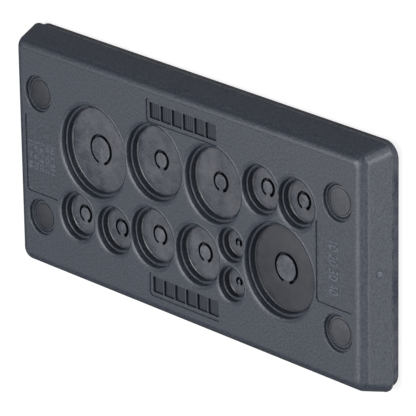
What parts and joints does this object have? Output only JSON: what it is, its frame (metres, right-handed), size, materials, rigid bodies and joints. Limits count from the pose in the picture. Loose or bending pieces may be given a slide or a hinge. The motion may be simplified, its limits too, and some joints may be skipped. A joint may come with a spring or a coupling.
{
  "type": "cable entry plate",
  "caption": "Low rectangular plate with leaning walls, stepped round cable holes closed by tear-out membranes, counterbored screw holes at its corners and a soft seal behind.",
  "frame": {"origin": "middle of the sealing face, on the panel side", "axes": "+X along the length, +Y across the width, +Z out of the front face that the cables enter"},
  "size_m": [0.1234, 0.0608, 0.01],
  "materials": {
    "frame": "fine satin grain, glass filled polyamide, dark slate grey",
    "membrane": "smooth soft elastomer with faint blotches, dark grey"
  },
  "bodies": {
    "root": {"frame": "frame", "membrane_seal": "membrane"}
  },
  "joints": []
}
